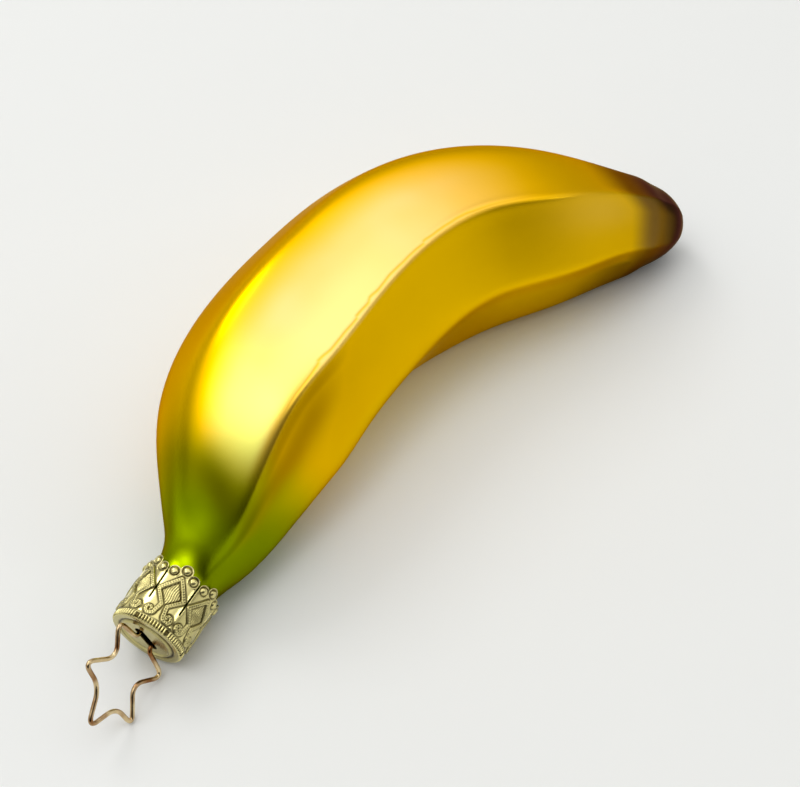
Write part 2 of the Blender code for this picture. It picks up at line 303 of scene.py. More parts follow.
def smooth_fall(edge_low, edge_high, value):
    """1 below the first edge, 0 above the second, and a smooth fall between them."""
    return 1.0 - smooth_step(edge_low, edge_high, value)


def plateau(rise, fall, value):
    """1 between a smooth rise and a smooth fall, each given by its two edges."""
    return smooth_step(*rise, value) * smooth_fall(*fall, value)


def hump(value, width):
    """1 where the value is 0, falling away smoothly over the width."""
    return np.exp(-(np.asarray(value, float) / width) ** 2)


def spline(knots, values, at, start_slope):
    """Cubic spline through the values, with a given slope at its start and free at its end."""
    knots = np.asarray(knots, float)
    values = np.asarray(values, float)
    steps = np.diff(knots)
    slopes = np.diff(values) / steps
    count = len(knots)
    system = np.zeros((count, count))
    right = np.zeros(count)
    system[0, 0:2] = 2.0 * steps[0], steps[0]
    right[0] = 6.0 * (slopes[0] - start_slope)
    system[-1, -1] = 1.0
    for i in range(1, count - 1):
        system[i, i - 1:i + 2] = steps[i - 1], 2.0 * (steps[i - 1] + steps[i]), steps[i]
        right[i] = 6.0 * (slopes[i] - slopes[i - 1])
    bend = np.linalg.solve(system, right)
    at = np.asarray(at, float)
    k = np.clip(np.searchsorted(knots, at) - 1, 0, count - 2)
    u = at - knots[k]
    first = slopes[k] - steps[k] * (2.0 * bend[k] + bend[k + 1]) / 6.0
    third = (bend[k + 1] - bend[k]) / (6.0 * steps[k])
    return values[k] + u * (first + u * (bend[k] / 2.0 + u * third))


class BananaForm:
    """The glass body's axis, radius and ridges as functions of the length along its axis."""

    def __init__(self):
        table = np.array(BODY_STATIONS, float)
        self.neck_direction = np.array([math.cos(NECK_YAW), math.sin(NECK_YAW), 0.0])
        self.neck_start = np.array([0.0, 0.0, AXIS_HEIGHT])
        neck_end = self.neck_start + NECK_END * self.neck_direction
        points = np.vstack([neck_end, table[:, 0:3]])
        lengths = np.linalg.norm(np.diff(points, axis=0), axis=1)
        self.knots = NECK_END + np.r_[0.0, np.cumsum(lengths)]
        self.points = points
        self.radii = np.r_[NECK_RADIUS, table[:, 3]]
        self.ridges = np.vstack([table[0, 4:6], table[:, 4:6]])
        self.length = self.knots[-1]
        self.dome_start = self.length - TIP_DOME_LENGTH

    def axis(self, s):
        curve = np.stack([spline(self.knots, self.points[:, i], s, self.neck_direction[i])
                          for i in range(3)], axis=-1)
        straight = self.neck_start + s[:, None] * self.neck_direction
        return np.where(s[:, None] < NECK_END, straight, curve)

    def radius(self, s):
        plain = np.where(s < NECK_END, NECK_RADIUS, spline(self.knots, self.radii, s, 0.0))
        across = np.clip((s - self.dome_start) / TIP_DOME_LENGTH, 0.0, 1.0)
        nub = sum(share * hump(self.length - s - place, width) for share, place, width in TIP_NUBS)
        return plain * (1.0 + nub) * np.sqrt(1.0 - across ** 2)

    def ridge(self, which, s):
        return spline(self.knots, self.ridges[:, which], s, 0.0)

    def near_ridge(self, which, s, angles, width):
        """1 along a ridge, falling away on both sides over the width."""
        turned = np.degrees(angles) - self.ridge(which, s)[:, None]
        return hump((turned + 180.0) % 360.0 - 180.0, width)

    def ridge_nearness(self, s, angles):
        """1 along the crisp seam ridge, less along the soft ridge, and 0 away from both."""
        crisp = 0.2 + 0.8 * smooth_step(32.0, 56.0, s)[:, None]
        soft = 0.7 * smooth_step(55.0, 110.0, s)[:, None]
        return np.maximum(crisp * self.near_ridge(0, s, angles, SEAM_RIDGE_WIDTH),
                          soft * self.near_ridge(1, s, angles, SOFT_RIDGE_WIDTH))

    def section(self, s, angles):
        """Radius factor round the section; the angles, in radians, are an array of ring by column."""
        first = self.ridge(0, s)[:, None]
        second = self.ridge(1, s)[:, None]
        middle = (first + second) / 2.0
        faces = [(2.0 * first - middle, RIDGE_FACE_APOTHEM),
                 (middle, RIDGE_FACE_APOTHEM),
                 (2.0 * second - middle, RIDGE_FACE_APOTHEM)]
        faces += [(np.full_like(first, angle), apothem) for angle, apothem in FIXED_FACES]
        factor = 0.0
        nearness = self.ridge_nearness(s, angles)
        for sharpness, share in ((CORNER_SHARPNESS, 1.0 - nearness), (RIDGE_SHARPNESS, nearness)):
            total = 0.0
            for normal, apothem in faces:
                facing = np.cos(angles - np.radians(normal))
                total = total + (np.maximum(facing, 0.0) / apothem) ** sharpness
            factor = factor + share * total ** (-1.0 / sharpness)
        fade_in = smooth_step(NECK_END, NECK_END + RIDGE_FADE_IN, s)
        fade_out = (1.0 - RIDGE_LEFT_AT_TIP) * smooth_step(self.length - RIDGE_FADE_OUT, self.length, s)
        fade = fade_in * (1.0 - fade_out)
        return 1.0 - fade[:, None] * (1.0 - factor)

    def rings(self, s, angles, lift):
        """Points of ring by column by coordinate; lift adds to the radius, in millimetres."""
        centre = self.axis(s)
        ahead = self.axis(s + 0.05) - self.axis(s - 0.05)
        ahead /= np.linalg.norm(ahead, axis=1)[:, None]
        outward = np.cross([0.0, 0.0, 1.0], ahead)
        outward /= np.linalg.norm(outward, axis=1)[:, None]
        upward = np.cross(ahead, outward)
        radius = self.radius(s)[:, None] * self.section(s, angles) + lift
        around = (np.cos(angles)[:, :, None] * outward[:, None, :]
                  + np.sin(angles)[:, :, None] * upward[:, None, :])
        points = centre[:, None, :] + radius[:, :, None] * around
        points[:, :, 2] = np.maximum(points[:, :, 2], 0.0)
        return points


def set_down(points):
    """Carry points in millimetres from the ornament's own frame to their place in metres."""
    return (np.asarray(points, float) + ORIGIN_SHIFT) * MM


def own_frame_shift():
    """Shift, in millimetres, that puts the plain body's low corner where the CAD has it."""
    form = BananaForm()
    s = np.linspace(NECK_RIM, form.length - 0.01, 240)
    angles = np.tile(np.linspace(0.0, 2.0 * math.pi, 72, endpoint=False), (len(s), 1))
    low = form.rings(s, angles, 0.0).reshape(-1, 3).min(axis=0)
    cad_low = np.array(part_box("glass_body")[0]) / MM
    return np.array([cad_low[0] - low[0], cad_low[1] - low[1], 0.0])


ORIGIN_SHIFT = own_frame_shift()


def add_object(name, data):
    made = bpy.data.objects.new(name, data)
    bpy.context.scene.collection.objects.link(made)
    return made


def add_mesh(name, points, faces):
    """Smooth-shaded mesh object."""
    mesh = bpy.data.meshes.new(name)
    mesh.from_pydata([tuple(point) for point in points], [], faces)
    mesh.shade_smooth()
    return add_object(name, mesh)


def claim_piece(piece, node):
    """Let a piece ride on the body and stand for a CAD node."""
    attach(piece, "root")
    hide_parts(node)
    return piece


def add_mask(piece, name, values):
    """A value for each point, for the material to read."""
    mask = piece.data.attributes.new(name, "FLOAT", "POINT")
    mask.data.foreach_set("value", np.asarray(values, np.float32))


def bridge(first, second, sides):
    """Quads between two closed rings, given by the number of their first points."""
    return [(first + j, first + (j + 1) % sides, second + (j + 1) % sides, second + j)
            for j in range(sides)]


def crowded_columns():
    """Angles from the seam ridge, in degrees, packed closely along the two mould seams."""
    fine = np.linspace(-180.0, 180.0, 7201)
    seams = hump(fine, SEAM_FOCUS) + 0.6 * hump(180.0 - np.abs(fine), SEAM_FOCUS)
    travelled = np.cumsum(1.0 + SEAM_CROWDING * seams)
    share = np.linspace(0.0, 1.0, BODY_COLUMNS, endpoint=False)
    return np.interp(travelled[0] + share * (travelled[-1] - travelled[0]), travelled, fine)


def seam_course(form, s, offsets):
    """Arc from the ridge, distance from the wandering groove, and how far the seam shows."""
    arc = np.radians(offsets)[None, :] * form.radius(s)[:, None]
    wander = sum(reach * np.sin(pace * s + start) for reach, pace, start in SEAM_WANDER)
    for place in SEAM_NICKS:
        wander = wander - NICK_JOG * plateau((place - 0.6, place), (place, place + 3.5), s)
    shown = plateau((38.0, 50.0), (form.length - 62.0, form.length - 36.0), s)
    return arc, arc + GROOVE_PLACE - wander[:, None], shown[:, None]


def seam_relief(form, s, offsets):
    """Height of the mould seam: low crest, fine groove and narrow lap, and a low line behind."""
    arc, from_groove, shown = seam_course(form, s, offsets)
    crest = 0.45 * hump(arc + 1.25, 0.45)
    groove = 0.50 * hump(from_groove, 0.16)
    lap = 0.35 * hump(arc + 0.10, 0.26)
    behind = np.radians(180.0 - np.abs(offsets))[None, :] * form.radius(s)[:, None]
    run = plateau((16.0, 24.0), (form.length - 20.0, form.length - 8.0), s)
    return shown * (crest - groove + lap) + 0.6 * run[:, None] * hump(behind, 0.35)


def glass_faces(outer_rings, inner_rings):
    """Outer wall, inner wall, the rim of the neck between them and the two closed tips."""
    columns = BODY_COLUMNS
    tip_point = outer_rings * columns
    inner_start = tip_point + 1
    inner_tip_point = inner_start + inner_rings * columns
    faces = []
    for i in range(outer_rings - 1):
        faces += bridge(i * columns, (i + 1) * columns, columns)
    for i in range(inner_rings - 1):
        faces += bridge(inner_start + (i + 1) * columns, inner_start + i * columns, columns)
    faces += bridge(inner_start, 0, columns)
    last = tip_point - columns
    inner_last = inner_tip_point - columns
    for j in range(columns):
        follows = (j + 1) % columns
        faces.append((last + j, last + follows, tip_point))
        faces.append((inner_last + follows, inner_last + j, inner_tip_point))
    return faces


def build_glass_body(settings):
    """Outer lacquered surface and plain inner wall, joined round the open neck."""
    form = BananaForm()
    quarter = np.linspace(0.0, math.pi / 2.0, TIP_RINGS + 1)[1:-1]
    outer_s = np.r_[np.linspace(NECK_RIM, form.dome_start, BODY_RINGS),
                    form.dome_start + TIP_DOME_LENGTH * np.sin(quarter)]
    inner_s = np.linspace(NECK_RIM, form.dome_start, INNER_RINGS)
    offsets = crowded_columns()
    angles = np.radians(form.ridge(0, outer_s)[:, None] + offsets[None, :])
    inner_angles = np.radians(form.ridge(0, inner_s)[:, None] + offsets[None, :])
    lift = settings.seam_height * seam_relief(form, outer_s, offsets)
    outer = form.rings(outer_s, angles, lift).reshape(-1, 3)
    inner = form.rings(inner_s, inner_angles, -WALL).reshape(-1, 3)
    tips = form.axis(np.array([form.length, form.length - WALL]))
    points = np.vstack([outer, tips[0], inner, tips[1]])
    piece = add_mesh("banana_glass", set_down(points), glass_faces(len(outer_s), len(inner_s)))
    claim_piece(piece, "glass_body")

    def for_points(outer_values, outer_tip, inner_values, inner_tip):
        """One value for each point, from those of the two walls and their tips."""
        return np.r_[np.ravel(outer_values), outer_tip, np.ravel(inner_values), inner_tip]

    along = for_points(np.repeat(outer_s, BODY_COLUMNS), form.length,
                       np.repeat(inner_s, BODY_COLUMNS), form.length)
    around = for_points(np.degrees(angles), 90.0, np.degrees(inner_angles), 90.0) % 360.0
    seam_offset = for_points(np.tile(offsets, len(outer_s)), 0.0, np.tile(offsets, len(inner_s)), 0.0)
    _, from_groove, shown = seam_course(form, outer_s, offsets)
    masks = lacquer_masks(along, form.length - along, around, seam_offset)
    groove = shown * hump(from_groove, GROOVE_WIDTH)
    masks["groove"] = for_points(groove, 0.0, np.zeros(len(inner)), 0.0)
    # Painted shade over the whole inner wall
    masks["inside"] = for_points(np.zeros(len(outer)), 0.0, np.ones(len(inner)), 1.0)
    for name, values in masks.items():
        add_mask(piece, name, values)
    piece.data.materials.append(glass_material(settings))


def crest_masks(along, around, seam_offset):
    """Painted highlight along the crest of the upper face, its yellow edge, and its palest part beside
    the seam.
    """
    upper_face = smooth_fall(-2.0, 2.5, seam_offset) * smooth_fall(150.0, 180.0, around)
    start = CREST_START - 2.0 * smooth_step(75.0, 110.0, around)
    crest = upper_face * smooth_step(72.0, 96.0, around)
    crest = crest * smooth_step(start, start + 9.0, along) * smooth_fall(84.0, 116.0, along)
    crest = crest * (1.0 - 0.8 * smooth_step(-9.0, -2.0, seam_offset) * smooth_fall(40.0, 58.0, along))
    rim = upper_face * smooth_step(65.0, 77.0, around) * plateau((26.0, 36.0), (98.0, 132.0), along)
    palest_highlight = crest * hump(seam_offset + 10.0, 16.0) * smooth_fall(62.0, 88.0, along)
    return {"crest": crest, "crest_rim": rim, "crest_pale": palest_highlight}


def neck_masks(along, around, seam_offset, crest):
    """Lime at the neck, its painted highlight and painted shade, and the painted bronze shade below the
    seam beyond it.
    """
    from_top = (around + 82.0) % 360.0 - 180.0
    lime_edge = LIME_END + 1.5 * hump(around - 82.0, 24.0) - 4.5 * hump(around - 138.0, 11.0)
    light = hump(along - NECK_LIGHT_PLACE, 4.2) * hump(around - 90.0, 20.0)
    crest_foot = 0.35 * crest * smooth_fall(38.0, 56.0, along)
    olive_place = OLIVE_PLACE - 0.13 * from_top * hump(from_top, 60.0)
    below_seam = 0.7 * hump(seam_offset - 10.0, 8.0) * smooth_fall(22.0, 36.0, along)
    sides = 0.6 * (1.0 - hump(around - 85.0, 34.0)) * smooth_fall(16.0, 34.0, along)
    outer_strip = 0.6 * hump(around - 50.0, 20.0) * smooth_fall(26.0, 48.0, along)
    patch = hump(around - 142.0, 17.0) * plateau((22.0, 30.0), (42.0, 60.0), along)
    strip = hump(seam_offset - 5.0, 6.5) * plateau((22.0, 32.0), (46.0, 62.0), along)
    tail = 0.3 * hump(around - 150.0, 24.0) * plateau((36.0, 46.0), (60.0, 92.0), along)
    return {
        "lime": smooth_fall(lime_edge - 8.0, lime_edge + 9.0, along),
        "neck_light": np.maximum(light, crest_foot),
        "olive": hump(along - olive_place, 3.6) * (0.2 + 0.65 * hump(from_top, 34.0)),
        "shade": np.maximum.reduce([below_seam, sides, outer_strip]),
        "bronze": np.maximum.reduce([patch, strip, tail]) * smooth_step(-2.0, 2.5, seam_offset),
    }


def tip_masks(from_tip, around, belly):
    """Brown and black at the tip, which reach less far along the front, and a painted sheen beside
    them.
    """
    front = plateau((102.0, 128.0), (250.0, 310.0), around)
    brown_edge = BROWN_REACH - 5.4 * front
    black_edge = BLACK_REACH - 6.5 * front
    brown = smooth_fall(brown_edge - 5.0, brown_edge + 6.0 - front, from_tip)
    tinge = (0.10 + 0.08 * front) * smooth_fall(16.0, 44.0, from_tip)
    below = 0.8 * belly * smooth_fall(14.0, 36.0, from_tip)
    return {
        "brown": np.maximum.reduce([brown, tinge, below]),
        "black": smooth_fall(black_edge - 4.0, black_edge + 4.0, from_tip),
        "haze": hump(from_tip - PAINTED_SHEEN_PLACE, 9.0) * hump(around - 126.0, 17.0),
    }


def lacquer_masks(along, from_tip, around, seam_offset):
    """Where each airbrushed colour and each painted highlight and shade lies, by length along the axis
    and angle round it.
    """
    belly = plateau((174.0, 192.0), (250.0, 300.0), around)
    masks = crest_masks(along, around, seam_offset)
    masks.update(neck_masks(along, around, seam_offset, masks["crest"]))
    masks.update(tip_masks(from_tip, around, belly))
    # Painted light low on the side
    masks["belly"] = belly * smooth_step(30.0, 60.0, along)
    return masks


class NodeSheet:
    """Lays out the nodes of one material, node group or world."""

    def __init__(self, tree):
        self.tree = tree
        tree.nodes.clear()
        self.place = 0

    def node(self, kind, values=None, **fields):
        made = self.tree.nodes.new(kind)
        made.location = (220.0 * self.place, 0.0)
        self.place += 1
        for field, value in fields.items():
            setattr(made, field, value)
        for socket, value in (values or {}).items():
            made.inputs[socket].default_value = value
        return made

    def link(self, output, entry):
        self.tree.links.new(output, entry)

    def math(self, operation, first, second):
        """Result of a maths node on two sockets or numbers."""
        made = self.node("ShaderNodeMath", operation=operation)
        for entry, value in zip(made.inputs, (first, second)):
            if isinstance(value, (int, float)):
                entry.default_value = value
            else:
                self.link(value, entry)
        return made.outputs[0]

    def mix(self, factor, first, second):
        """Mix of two colours, each a socket or a tuple."""
        made = self.node("ShaderNodeMix", data_type="RGBA")
        entries = (made.inputs[0], made.inputs[6], made.inputs[7])
        for entry, value in zip(entries, (factor, first, second)):
            if isinstance(value, (int, float)):
                entry.default_value = value
            elif isinstance(value, tuple):
                entry.default_value = (*value, 1.0)
            else:
                self.link(value, entry)
        return made.outputs[2]

    def plus(self, first, second):
        return self.math("ADD", first, second)

    def minus(self, first, second):
        return self.math("SUBTRACT", first, second)

    def times(self, first, second):
        return self.math("MULTIPLY", first, second)

    def held(self, value):
        """A value held between 0 and 1."""
        return self.math("MINIMUM", self.math("MAXIMUM", value, 0.0), 1.0)

    def mask(self, name):
        return self.node("ShaderNodeAttribute", attribute_name=name).outputs["Fac"]


def new_group(name, entries, results):
    """Empty shader node group with named float inputs and outputs."""
    group = bpy.data.node_groups.new(name, "ShaderNodeTree")
    for entry, default in entries:
        socket = group.interface.new_socket(entry, in_out="INPUT", socket_type="NodeSocketFloat")
        socket.default_value = default
    for result, kind in results:
        group.interface.new_socket(result, in_out="OUTPUT", socket_type=kind)
    sheet = NodeSheet(group)
    return group, sheet, sheet.node("NodeGroupInput"), sheet.node("NodeGroupOutput")


def uneven_group():
    """Slow and fine unevenness, each about 0.5, and a bump normal made of both."""
    group, sheet, given, made = new_group(
        "Surface unevenness",
        (("Slow scale", 60.0), ("Fine scale", 900.0), ("Fine share", 0.3), ("Bump strength", 0.1),
         ("Bump distance", 0.0001)),
        (("Slow", "NodeSocketFloat"), ("Fine", "NodeSocketFloat"), ("Normal", "NodeSocketVector")))
    place = sheet.node("ShaderNodeTexCoord").outputs["Object"]
    slow = sheet.node("ShaderNodeTexNoise", {"Detail": 2.0})
    fine = sheet.node("ShaderNodeTexNoise", {"Detail": 3.0})
    for noise, scale in ((slow, "Slow scale"), (fine, "Fine scale")):
        sheet.link(place, noise.inputs["Vector"])
        sheet.link(given.outputs[scale], noise.inputs["Scale"])
    height = sheet.plus(slow.outputs["Fac"],
                        sheet.times(fine.outputs["Fac"], given.outputs["Fine share"]))
    bump = sheet.node("ShaderNodeBump")
    sheet.link(given.outputs["Bump strength"], bump.inputs["Strength"])
    sheet.link(given.outputs["Bump distance"], bump.inputs["Distance"])
    sheet.link(height, bump.inputs["Height"])
    sheet.link(slow.outputs["Fac"], made.inputs["Slow"])
    sheet.link(fine.outputs["Fac"], made.inputs["Fine"])
    sheet.link(bump.outputs["Normal"], made.inputs["Normal"])
    return group


def shared_unevenness():
    return bpy.data.node_groups.get("Surface unevenness") or uneven_group()


def new_material(name):
    material = bpy.data.materials.new(name)
    material.use_nodes = True
    sheet = NodeSheet(material.node_tree)
    shader = sheet.node("ShaderNodeBsdfPrincipled")
    output = sheet.node("ShaderNodeOutputMaterial")
    sheet.link(shader.outputs[0], output.inputs[0])
    return material, sheet, shader


def place_unevenness(sheet, shader, values):
    """The shared unevenness with this material's own values, its bump linked to the shader."""
    made = sheet.node("ShaderNodeGroup")
    made.node_tree = shared_unevenness()
    for name, value in values.items():
        made.inputs[name].default_value = value
    sheet.link(made.outputs["Normal"], shader.inputs["Normal"])
    return made


def glass_material(settings):
    """Satin lacquer over silvered glass: gold, with lime at the neck and a brown-black tip, and painted
    highlights and shade mixed in.
    """
    material, sheet, shader = new_material("lacquered_glass")
    uneven = place_unevenness(sheet, shader, {
        "Slow scale": 55.0, "Fine scale": 1400.0, "Fine share": 0.12,
        "Bump strength": 0.25, "Bump distance": 0.0002})
    mottle = sheet.times(sheet.minus(uneven.outputs["Slow"], 0.5), 0.35)

    def spread(name):
        """A mask whose soft edge wanders a little."""
        mask = sheet.mask(name)
        edge = sheet.times(mask, sheet.minus(1.0, mask))
        moved = sheet.plus(mask, sheet.times(sheet.times(edge, 4.0), mottle))
        return sheet.held(moved)

    # Painted highlight along the upper face, uneven in strength
    crest = sheet.times(sheet.mask("crest"), sheet.plus(uneven.outputs["Slow"], 0.35))
    black = spread("black")
    # Painted highlight in the crest's edge, crest, palest crest, tip sheen, lower side and neck light;
    # painted shade in the bronze, olive, moss and inner wall; the rest is lacquer colour
    coats = (
        (sheet.mask("crest_rim"), settings.yellow),
        (crest, settings.crest),
        (sheet.mask("crest_pale"), settings.palest_highlight),
        (sheet.times(sheet.mask("haze"), 0.16), settings.crest),
        (sheet.times(sheet.mask("groove"), 0.8), settings.yellow),
        (sheet.mask("belly"), settings.belly),
        (spread("bronze"), settings.bronze),
        (spread("lime"), settings.lime),
        (spread("neck_light"), settings.lime_highlight),
        (spread("olive"), settings.olive),
        (sheet.mask("shade"), settings.moss_shade),
        (spread("brown"), settings.brown),
        (black, settings.black),
        (sheet.mask("inside"), INSIDE_SHADE_COLOUR),
    )
    body = tuple(settings.gold)
    for share, colour in coats:
        body = sheet.mix(share, body, tuple(colour))
    sheet.link(body, shader.inputs["Base Color"])
    rough = sheet.plus(settings.satin, sheet.times(mottle, 0.15))
    sheet.link(rough, shader.inputs["Roughness"])
    sheet.link(sheet.minus(1.0, sheet.times(black, 0.1)), shader.inputs["Metallic"])
    shader.inputs["Specular Tint"].default_value = (*settings.rim, 1.0)
    coated = sheet.times(sheet.times(crest, crest), 0.5)
    sheet.link(coated, shader.inputs["Coat Weight"])
    shader.inputs["Coat Roughness"].default_value = settings.gloss
    return material


def cap_matrix():
    """From the cap's own frame (depth, along the slot, across it) to the ornament's."""
    place = Matrix.Translation((0.0, 0.0, AXIS_HEIGHT)) @ Matrix.Rotation(NECK_YAW, 4, "Z")
    return place @ Matrix.Rotation(math.radians(90.0) + SLOT_TILT, 4, "X")


def carry(matrix, points):
    turn = np.array(matrix.to_3x3())
    return np.asarray(points, float) @ turn.T + np.array(matrix.translation)


def slot_reach(angle):
    """Distance from the slot's middle to its edge, a rectangle with round ends."""
    half_width = SLOT_WIDTH / 2.0
    straight = SLOT_LENGTH / 2.0 - half_width
    c, s = np.abs(np.cos(angle)), np.abs(np.sin(angle))
    on_side = half_width / np.maximum(s, 1e-9)
    on_end = straight * c + np.sqrt(np.maximum(half_width ** 2 - (straight * s) ** 2, 0.0))
    return np.where(s * straight > c * half_width, on_side, on_end)


def tab_reach(offset):
    """Length of a tab at an offset from its middle: three round scallops over the beads."""
    reach = np.full_like(offset, CAP_LENGTH - TAB_CORNER_DROP)
    for middle, drop in BEADS:
        gap = np.abs(offset - middle)
        rise = np.sqrt(np.maximum(BEAD_SCALLOP ** 2 - gap ** 2, 0.0))
        scallop = CAP_LENGTH - drop - BEAD_SCALLOP + rise
        reach = np.where(gap < BEAD_SCALLOP, np.maximum(reach, scallop), reach)
    return reach


def rope_route():
    """Right half of the stamped rope: down one side of the lozenge and round into a volute."""
    points = [np.array(corner) for corner in ROPE_CORNERS]
    for turned in np.linspace(*VOLUTE_TURNS, 30):
        radius = VOLUTE_REACH - VOLUTE_CLOSING * (turned - VOLUTE_TURNS[0]) / 360.0
        angle = math.radians(turned)
        points.append(np.array(VOLUTE) + radius * np.array([math.cos(angle), math.sin(angle)]))
    return np.array(points)


def distance_to_route(across, depth, route):
    """Distance to a route of straight pieces, and how far along it the nearest point is."""
    best = np.full(across.shape, 1e9)
    along = np.zeros(across.shape)
    travelled = 0.0
    for start, end in zip(route, route[1:]):
        step = end - start
        length = float(np.linalg.norm(step))
        share = ((across - start[0]) * step[0] + (depth - start[1]) * step[1]) / length ** 2
        share = np.clip(share, 0.0, 1.0)
        gap = np.hypot(across - start[0] - share * step[0], depth - start[1] - share * step[1])
        nearer = gap < best
        best = np.where(nearer, gap, best)
        along = np.where(nearer, travelled + share * length, along)
        travelled += length
    return best, along


def bead_relief(across, depth):
    """Height and painted shade of a tab's beads and of its raised scalloped rim."""
    height = np.zeros(across.shape)
    painted_shade = np.zeros(across.shape)
    rim_gap = np.full(across.shape, -9.0)
    for middle, drop in BEADS:
        reach = np.hypot(across - middle, depth - (CAP_LENGTH - drop - BEAD_SCALLOP))
        height += BEAD_HEIGHT * np.sqrt(np.maximum(1.0 - (reach / BEAD_RADIUS) ** 2, 0.0))
        height -= 0.06 * hump(reach - BEAD_RADIUS - 0.12, 0.09)
        painted_shade = np.maximum(painted_shade, hump(reach - BEAD_RADIUS - 0.09, 0.15))
        rim_gap = np.maximum(rim_gap, BEAD_SCALLOP - reach)
    height += 0.09 * hump(rim_gap - 0.10, 0.08) * smooth_step(9.0, 9.6, depth)
    return height, painted_shade


def rope_relief(across, depth):
    """Height and painted shade of a tab's rope and volutes, whose outline is sunk."""
    gap, along = distance_to_route(np.abs(across), depth, rope_route())
    half_width = ROPE_HALF_WIDTH - VOLUTE_THINNING * smooth_step(VOLUTE_FROM, VOLUTE_FROM + 4.0, along)
    strands = 0.5 + 0.5 * np.cos(2.0 * math.pi * along / ROPE_STRAND)
    height = ROPE_HEIGHT * smooth_step(0.0, 0.09, half_width - gap)
    height += 0.05 * hump(gap - half_width + 0.09, 0.06)
    height += 0.11 * (strands - 0.5) * hump(gap, 0.18)
    height -= 0.07 * hump(gap - half_width - 0.11, 0.10)
    outline = hump(gap - half_width - 0.11, 0.15)
    return height, np.maximum(outline, 0.85 * (1.0 - strands) * hump(gap, 0.17))


def lozenge_relief(across, depth):
    """Height and painted shade of a tab's sunk and hatched lozenge."""
    lower = 1.0 - np.abs(across) / LOZENGE_HALF_WIDTH - (depth - LOZENGE_MIDDLE) / LOZENGE_BELOW
    upper = 1.0 - np.abs(across) / LOZENGE_HALF_WIDTH + (depth - LOZENGE_MIDDLE) / LOZENGE_ABOVE
    panel = smooth_step(0.12, 0.22, np.minimum(lower, upper))
    hatch = np.cos(2.0 * math.pi * (across + 0.10 * np.sin(2.1 * depth)) / HATCH_PITCH)
    return panel * (0.05 * hatch - 0.07), panel * (0.42 - 0.25 * hatch)


def stamped_relief(across, depth):
    """Height and painted shade of a tab's stamped pattern, by offset across and depth from the face."""
    parts = [part(across, depth) for part in (bead_relief, rope_relief, lozenge_relief)]
    heights, painted_shades = zip(*parts)
    return sum(heights), np.maximum.reduce(painted_shades)


def cap_rows():
    """Rows from the slot's edge to the tabs' root, as (radius, depth, lean of the normal).

    The lean is 0 on the flat face and 1 on the side; the first two radii add to the slot's edge.
    """
    face_edge = CAP_RADIUS - CAP_SHOULDER
    rows = [(0.0, 0.0, 0.0), (SLOT_LIP, 0.0, 0.0)]
    rows += [(radius, 0.0, 0.0) for radius in np.linspace(3.0, face_edge, 34)]
    for turn in np.radians(np.linspace(0.0, 90.0, 9)[1:]):
        rows.append((face_edge + CAP_SHOULDER * math.sin(turn), CAP_SHOULDER * (1.0 - math.cos(turn)),
                     math.sin(turn)))
    rows += [(CAP_RADIUS, depth, 1.0) for depth in np.linspace(CAP_SHOULDER, CAP_TAB_ROOT, 34)[1:]]
    return rows


def face_relief(radius):
    """Rings turned in the cap's face: a raised ring and a groove outside it."""
    return 0.22 * hump(radius - FACE_RING, 0.24) - 0.20 * hump(radius - FACE_GROOVE, 0.22)


def cap_columns():
    """Angle of each column round the cap, and its offset across its tab."""
    pitch = 2.0 * math.pi / CAP_TABS
    steps = (pitch - TAB_SLIT) * np.arange(CAP_COLUMNS_PER_TAB + 1) / CAP_COLUMNS_PER_TAB
    starts = TAB_TURN + np.arange(CAP_TABS) * pitch
    angle = (starts[:, None] + TAB_SLIT / 2.0 + steps[None, :]).ravel()
    middle = np.repeat(starts + pitch / 2.0, CAP_COLUMNS_PER_TAB + 1)
    return angle, CAP_RADIUS * (angle - middle)


def face_and_side_rows(angle, across, ribs_per_tab):
    """Radius, depth, lean, height and painted shade of each row from the slot to the tabs' root."""
    rib = 0.5 + 0.5 * np.cos((angle - TAB_TURN) * ribs_per_tab * CAP_TABS)
    rows = []
    for radius, depth, lean in cap_rows():
        at_slot = radius <= SLOT_LIP
        reach = slot_reach(angle) + radius if at_slot else np.full(len(angle), radius)
        milled = plateau(MILLED_RISE, MILLED_FALL, depth)
        stamped = smooth_step(*STAMPED_FROM, depth)
        height, painted_shade = stamped_relief(across, np.full(len(angle), depth))
        height = height * stamped + face_relief(reach) * (1.0 - lean)
        height = height - MILLED_DEPTH * milled * (1.0 - rib)
        height = height - 0.08 * hump(depth - SIDE_LINE, 0.10) * lean
        # Painted shade in the side line, the milling's grooves and the face's groove, lighter over the
        # whole flat face, and full at the slot's edge
        painted_shade = painted_shade * stamped + 0.9 * hump(depth - SIDE_LINE, 0.13) * lean
        painted_shade = painted_shade + milled * smooth_step(0.25, 0.85, 1.0 - rib)
        painted_shade = painted_shade + 0.8 * hump(reach - FACE_GROOVE, 0.25) * (1.0 - lean)
        painted_shade = painted_shade + 0.3 * smooth_fall(0.0, 0.4, lean)
        if radius == 0.0:
            painted_shade = np.ones(len(angle))
        rows.append((reach, np.full(len(angle), depth), np.full(len(angle), lean), height, painted_shade))
    return rows


def tab_rows(across):
    """The same of each row of the tabs, from their root to their scalloped ends."""
    reach = tab_reach(across)
    rows = []
    for share in np.linspace(0.0, 1.0, TAB_ROWS + 1)[1:]:
        depth = CAP_TAB_ROOT + (reach - CAP_TAB_ROOT) * share
        flare = CAP_FLARE * ((depth - CAP_TAB_ROOT) / (CAP_LENGTH - CAP_TAB_ROOT)) ** 2
        rows.append((CAP_RADIUS + flare, depth, np.ones(len(across)), *stamped_relief(across, depth)))
    return rows


def turned_points(radius, depth, angle):
    """Points at a radius and a depth round the cap's axis."""
    points = np.stack([depth, radius * np.cos(angle), radius * np.sin(angle)], axis=-1)
    return points.reshape(-1, 3)


